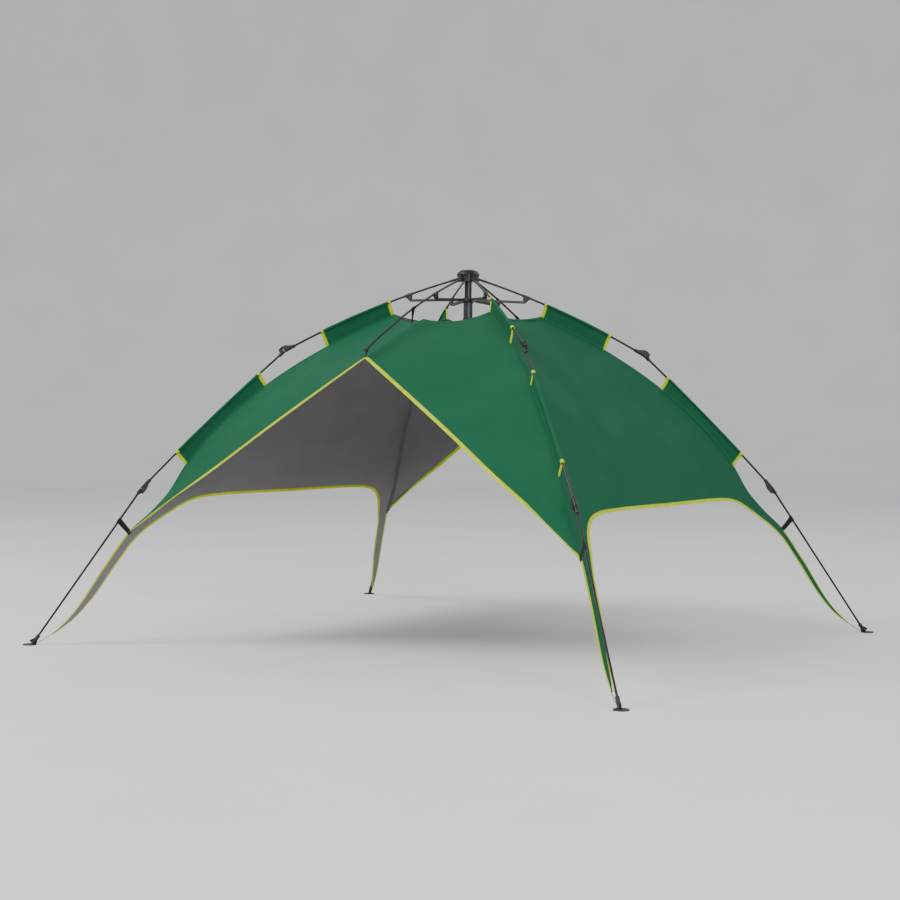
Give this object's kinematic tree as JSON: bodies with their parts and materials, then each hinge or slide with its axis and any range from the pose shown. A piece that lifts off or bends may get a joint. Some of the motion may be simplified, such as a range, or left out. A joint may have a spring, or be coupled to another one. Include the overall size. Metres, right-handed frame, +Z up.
{
  "type": "beach shelter",
  "caption": "Open beach shelter with a domed cloth canopy hung under an external folding frame of fibreglass legs, with a central sliding hub.",
  "frame": {"origin": "on the ground under the hub", "axes": "+Z up, +X right, the front tall opening faces -Y"},
  "size_m": [2.777, 2.4746, 1.578],
  "materials": {
    "hub_plastic": "moulded nylon, satin",
    "joint_plastic": "moulded nylon, fine grain",
    "foot_plastic": "moulded nylon, dusty",
    "grip_plastic": "ribbed soft plastic",
    "button_plastic": "smooth",
    "fibreglass": "pultruded rod, semi-gloss",
    "strut_steel": "powder coat",
    "centre_tube": "gloss coat",
    "sleeve_tube": "anodised, satin",
    "pin_steel": "zinc plated",
    "spring_steel": "drawn wire",
    "canopy_cloth": "coated polyester, green outside and grey inside",
    "sleeve_cloth": "coated polyester",
    "webbing": "ribbed webbing",
    "cord": "braided"
  },
  "bodies": {
    "hub": {"hub_cap": "hub_plastic", "hub_body": "hub_plastic", "hub_pivot_pins": "pin_steel", "centre_tube": "centre_tube", "lift_spring": "spring_steel", "canopy_front": "canopy_cloth", "canopy_back": "canopy_cloth", "canopy_left": "canopy_cloth", "canopy_right": "canopy_cloth", "pole_sleeves_upper": "sleeve_cloth", "pole_sleeves_lower": "sleeve_cloth", "leg_straps": "webbing", "arm_webbing": "webbing", "foot_cords": "cord"},
    "runner": {"runner_body": "hub_plastic", "runner_sleeve": "sleeve_tube", "hand_grip": "grip_plastic", "runner_pivot_pins": "pin_steel"},
    "button_right": {"release_button_right": "button_plastic"},
    "button_left": {"release_button_left": "button_plastic"},
    "leg_upper_front_left": {"upper_rod_front_left": "fibreglass", "upper_fittings_front_left": "joint_plastic"},
    "leg_middle_front_left": {"middle_rod_front_left": "fibreglass", "middle_fittings_front_left": "joint_plastic"},
    "leg_lower_front_left": {"lower_rod_front_left": "fibreglass", "lower_knee_front_left": "joint_plastic", "foot_front_left": "foot_plastic"},
    "strut_body_front_left": {"strut_front_left": "strut_steel"},
    "leg_upper_front_right": {"upper_rod_front_right": "fibreglass", "upper_fittings_front_right": "joint_plastic"},
    "leg_middle_front_right": {"middle_rod_front_right": "fibreglass", "middle_fittings_front_right": "joint_plastic"},
    "leg_lower_front_right": {"lower_rod_front_right": "fibreglass", "lower_knee_front_right": "joint_plastic", "foot_front_right": "foot_plastic"},
    "strut_body_front_right": {"strut_front_right": "strut_steel"},
    "leg_upper_back_right": {"upper_rod_back_right": "fibreglass", "upper_fittings_back_right": "joint_plastic"},
    "leg_middle_back_right": {"middle_rod_back_right": "fibreglass", "middle_fittings_back_right": "joint_plastic"},
    "leg_lower_back_right": {"lower_rod_back_right": "fibreglass", "lower_knee_back_right": "joint_plastic", "foot_back_right": "foot_plastic"},
    "strut_body_back_right": {"strut_back_right": "strut_steel"},
    "leg_upper_back_left": {"upper_rod_back_left": "fibreglass", "upper_fittings_back_left": "joint_plastic"},
    "leg_middle_back_left": {"middle_rod_back_left": "fibreglass", "middle_fittings_back_left": "joint_plastic"},
    "leg_lower_back_left": {"lower_rod_back_left": "fibreglass", "lower_knee_back_left": "joint_plastic", "foot_back_left": "foot_plastic"},
    "strut_body_back_left": {"strut_back_left": "strut_steel"},
    "arm_front": {"arm_rod_front": "fibreglass", "arm_fittings_front": "joint_plastic", "arm_hook_front": "joint_plastic"},
    "strut_body_front": {"strut_front": "strut_steel"},
    "arm_back": {"arm_rod_back": "fibreglass", "arm_fittings_back": "joint_plastic", "arm_hook_back": "joint_plastic"},
    "strut_body_back": {"strut_back": "strut_steel"}
  },
  "joints": [
    {"name": "frame_fold", "type": "hinge", "parent": "hub", "child": "leg_upper_front_left", "pos_m": [-0.0299, -0.02658, 1.54], "axis": [0.6644, -0.7474, 0], "range_deg": [0, 66.71], "deforming": ["lift_spring", "canopy_front", "canopy_back", "canopy_left", "canopy_right", "pole_sleeves_upper", "pole_sleeves_lower", "leg_straps", "arm_webbing", "foot_cords"]},
    {"name": "upper_knee_front_left", "type": "hinge", "parent": "leg_upper_front_left", "child": "leg_middle_front_left", "pos_m": [-0.59074, -0.5251, 1.23396], "axis": [-0.6644, 0.7474, 0], "range_deg": [0, 199.69], "stiffness_Nm_per_rad": 3, "springref_deg": -171.89},
    {"name": "lower_knee_front_left", "type": "hinge", "parent": "leg_middle_front_left", "child": "leg_lower_front_left", "pos_m": [-1.01564, -0.90279, 0.63584], "axis": [0.6644, -0.7474, 0], "range_deg": [0, 168.9], "stiffness_Nm_per_rad": 1.2, "springref_deg": -171.89},
    {"name": "strut_turn_front_left", "type": "hinge", "parent": "runner", "child": "strut_body_front_left", "pos_m": [-0.02242, -0.01993, 1.45], "axis": [-0.6644, 0.7474, 0], "range_deg": [0, 91.04]},
    {"name": "arm_fold_front_right", "type": "hinge", "parent": "hub", "child": "leg_upper_front_right", "pos_m": [0.0299, -0.02658, 1.54], "axis": [0.6644, 0.7474, 0], "range_deg": [0, 66.71]},
    {"name": "upper_knee_front_right", "type": "hinge", "parent": "leg_upper_front_right", "child": "leg_middle_front_right", "pos_m": [0.59074, -0.5251, 1.23396], "axis": [-0.6644, -0.7474, 0], "range_deg": [0, 199.69], "stiffness_Nm_per_rad": 3, "springref_deg": -171.89},
    {"name": "lower_knee_front_right", "type": "hinge", "parent": "leg_middle_front_right", "child": "leg_lower_front_right", "pos_m": [1.01564, -0.90279, 0.63584], "axis": [0.6644, 0.7474, 0], "range_deg": [0, 168.9], "stiffness_Nm_per_rad": 1.2, "springref_deg": -171.89},
    {"name": "strut_turn_front_right", "type": "hinge", "parent": "runner", "child": "strut_body_front_right", "pos_m": [0.02242, -0.01993, 1.45], "axis": [-0.6644, -0.7474, 0], "range_deg": [0, 91.04]},
    {"name": "arm_fold_back_right", "type": "hinge", "parent": "hub", "child": "leg_upper_back_right", "pos_m": [0.0299, 0.02658, 1.54], "axis": [-0.6644, 0.7474, 0], "range_deg": [0, 66.71]},
    {"name": "upper_knee_back_right", "type": "hinge", "parent": "leg_upper_back_right", "child": "leg_middle_back_right", "pos_m": [0.59074, 0.5251, 1.23396], "axis": [0.6644, -0.7474, 0], "range_deg": [0, 199.69], "stiffness_Nm_per_rad": 3, "springref_deg": -171.89},
    {"name": "lower_knee_back_right", "type": "hinge", "parent": "leg_middle_back_right", "child": "leg_lower_back_right", "pos_m": [1.01564, 0.90279, 0.63584], "axis": [-0.6644, 0.7474, 0], "range_deg": [0, 168.9], "stiffness_Nm_per_rad": 1.2, "springref_deg": -171.89},
    {"name": "strut_turn_back_right", "type": "hinge", "parent": "runner", "child": "strut_body_back_right", "pos_m": [0.02242, 0.01993, 1.45], "axis": [0.6644, -0.7474, 0], "range_deg": [0, 91.04]},
    {"name": "arm_fold_back_left", "type": "hinge", "parent": "hub", "child": "leg_upper_back_left", "pos_m": [-0.0299, 0.02658, 1.54], "axis": [-0.6644, -0.7474, 0], "range_deg": [0, 66.71]},
    {"name": "upper_knee_back_left", "type": "hinge", "parent": "leg_upper_back_left", "child": "leg_middle_back_left", "pos_m": [-0.59074, 0.5251, 1.23396], "axis": [0.6644, 0.7474, 0], "range_deg": [0, 199.69], "stiffness_Nm_per_rad": 3, "springref_deg": -171.89},
    {"name": "lower_knee_back_left", "type": "hinge", "parent": "leg_middle_back_left", "child": "leg_lower_back_left", "pos_m": [-1.01564, 0.90279, 0.63584], "axis": [-0.6644, -0.7474, 0], "range_deg": [0, 168.9], "stiffness_Nm_per_rad": 1.2, "springref_deg": -171.89},
    {"name": "strut_turn_back_left", "type": "hinge", "parent": "runner", "child": "strut_body_back_left", "pos_m": [-0.02242, 0.01993, 1.45], "axis": [0.6644, 0.7474, 0], "range_deg": [0, 91.04]},
    {"name": "arm_fold_front", "type": "hinge", "parent": "hub", "child": "arm_front", "pos_m": [0, -0.04, 1.54], "axis": [1, 0, 0], "range_deg": [0, 65.32]},
    {"name": "strut_turn_front", "type": "hinge", "parent": "runner", "child": "strut_body_front", "pos_m": [0, -0.03, 1.45], "axis": [-1, 0, 0], "range_deg": [0, 91.67]},
    {"name": "arm_fold_back", "type": "hinge", "parent": "hub", "child": "arm_back", "pos_m": [0, 0.04, 1.54], "axis": [-1, 0, 0], "range_deg": [0, 65.32]},
    {"name": "strut_turn_back", "type": "hinge", "parent": "runner", "child": "strut_body_back", "pos_m": [0, 0.03, 1.45], "axis": [1, 0, 0], "range_deg": [0, 91.67]},
    {"name": "runner_slide", "type": "slide", "parent": "hub", "child": "runner", "axis": [0, 0, -1], "range_m": [0, 0.354], "stiffness_N_per_m": 100, "springref_m": -0.3},
    {"name": "release_right", "type": "slide", "parent": "runner", "child": "button_right", "axis": [-1, 0, 0], "range_m": [0, 0.003]},
    {"name": "release_left", "type": "slide", "parent": "runner", "child": "button_left", "axis": [1, 0, 0], "range_m": [0, 0.003]}
  ],
  "couplings": [
    {"joint": "upper_knee_front_left", "follows": "frame_fold", "ratio": 2.9932},
    {"joint": "lower_knee_front_left", "follows": "frame_fold", "ratio": 2.5317},
    {"joint": "strut_turn_front_left", "follows": "frame_fold", "ratio": 1.3645},
    {"joint": "arm_fold_front_right", "follows": "frame_fold", "ratio": 1},
    {"joint": "upper_knee_front_right", "follows": "frame_fold", "ratio": 2.9932},
    {"joint": "lower_knee_front_right", "follows": "frame_fold", "ratio": 2.5317},
    {"joint": "strut_turn_front_right", "follows": "frame_fold", "ratio": 1.3645},
    {"joint": "arm_fold_back_right", "follows": "frame_fold", "ratio": 1},
    {"joint": "upper_knee_back_right", "follows": "frame_fold", "ratio": 2.9932},
    {"joint": "lower_knee_back_right", "follows": "frame_fold", "ratio": 2.5317},
    {"joint": "strut_turn_back_right", "follows": "frame_fold", "ratio": 1.3645},
    {"joint": "arm_fold_back_left", "follows": "frame_fold", "ratio": 1},
    {"joint": "upper_knee_back_left", "follows": "frame_fold", "ratio": 2.9932},
    {"joint": "lower_knee_back_left", "follows": "frame_fold", "ratio": 2.5317},
    {"joint": "strut_turn_back_left", "follows": "frame_fold", "ratio": 1.3645},
    {"joint": "arm_fold_front", "follows": "frame_fold", "ratio": 0.97884},
    {"joint": "strut_turn_front", "follows": "frame_fold", "ratio": 1.3738},
    {"joint": "arm_fold_back", "follows": "frame_fold", "ratio": 0.97884},
    {"joint": "strut_turn_back", "follows": "frame_fold", "ratio": 1.3738},
    {"joint": "runner_slide", "follows": "frame_fold", "m_per_rad": 0.30362}
  ]
}
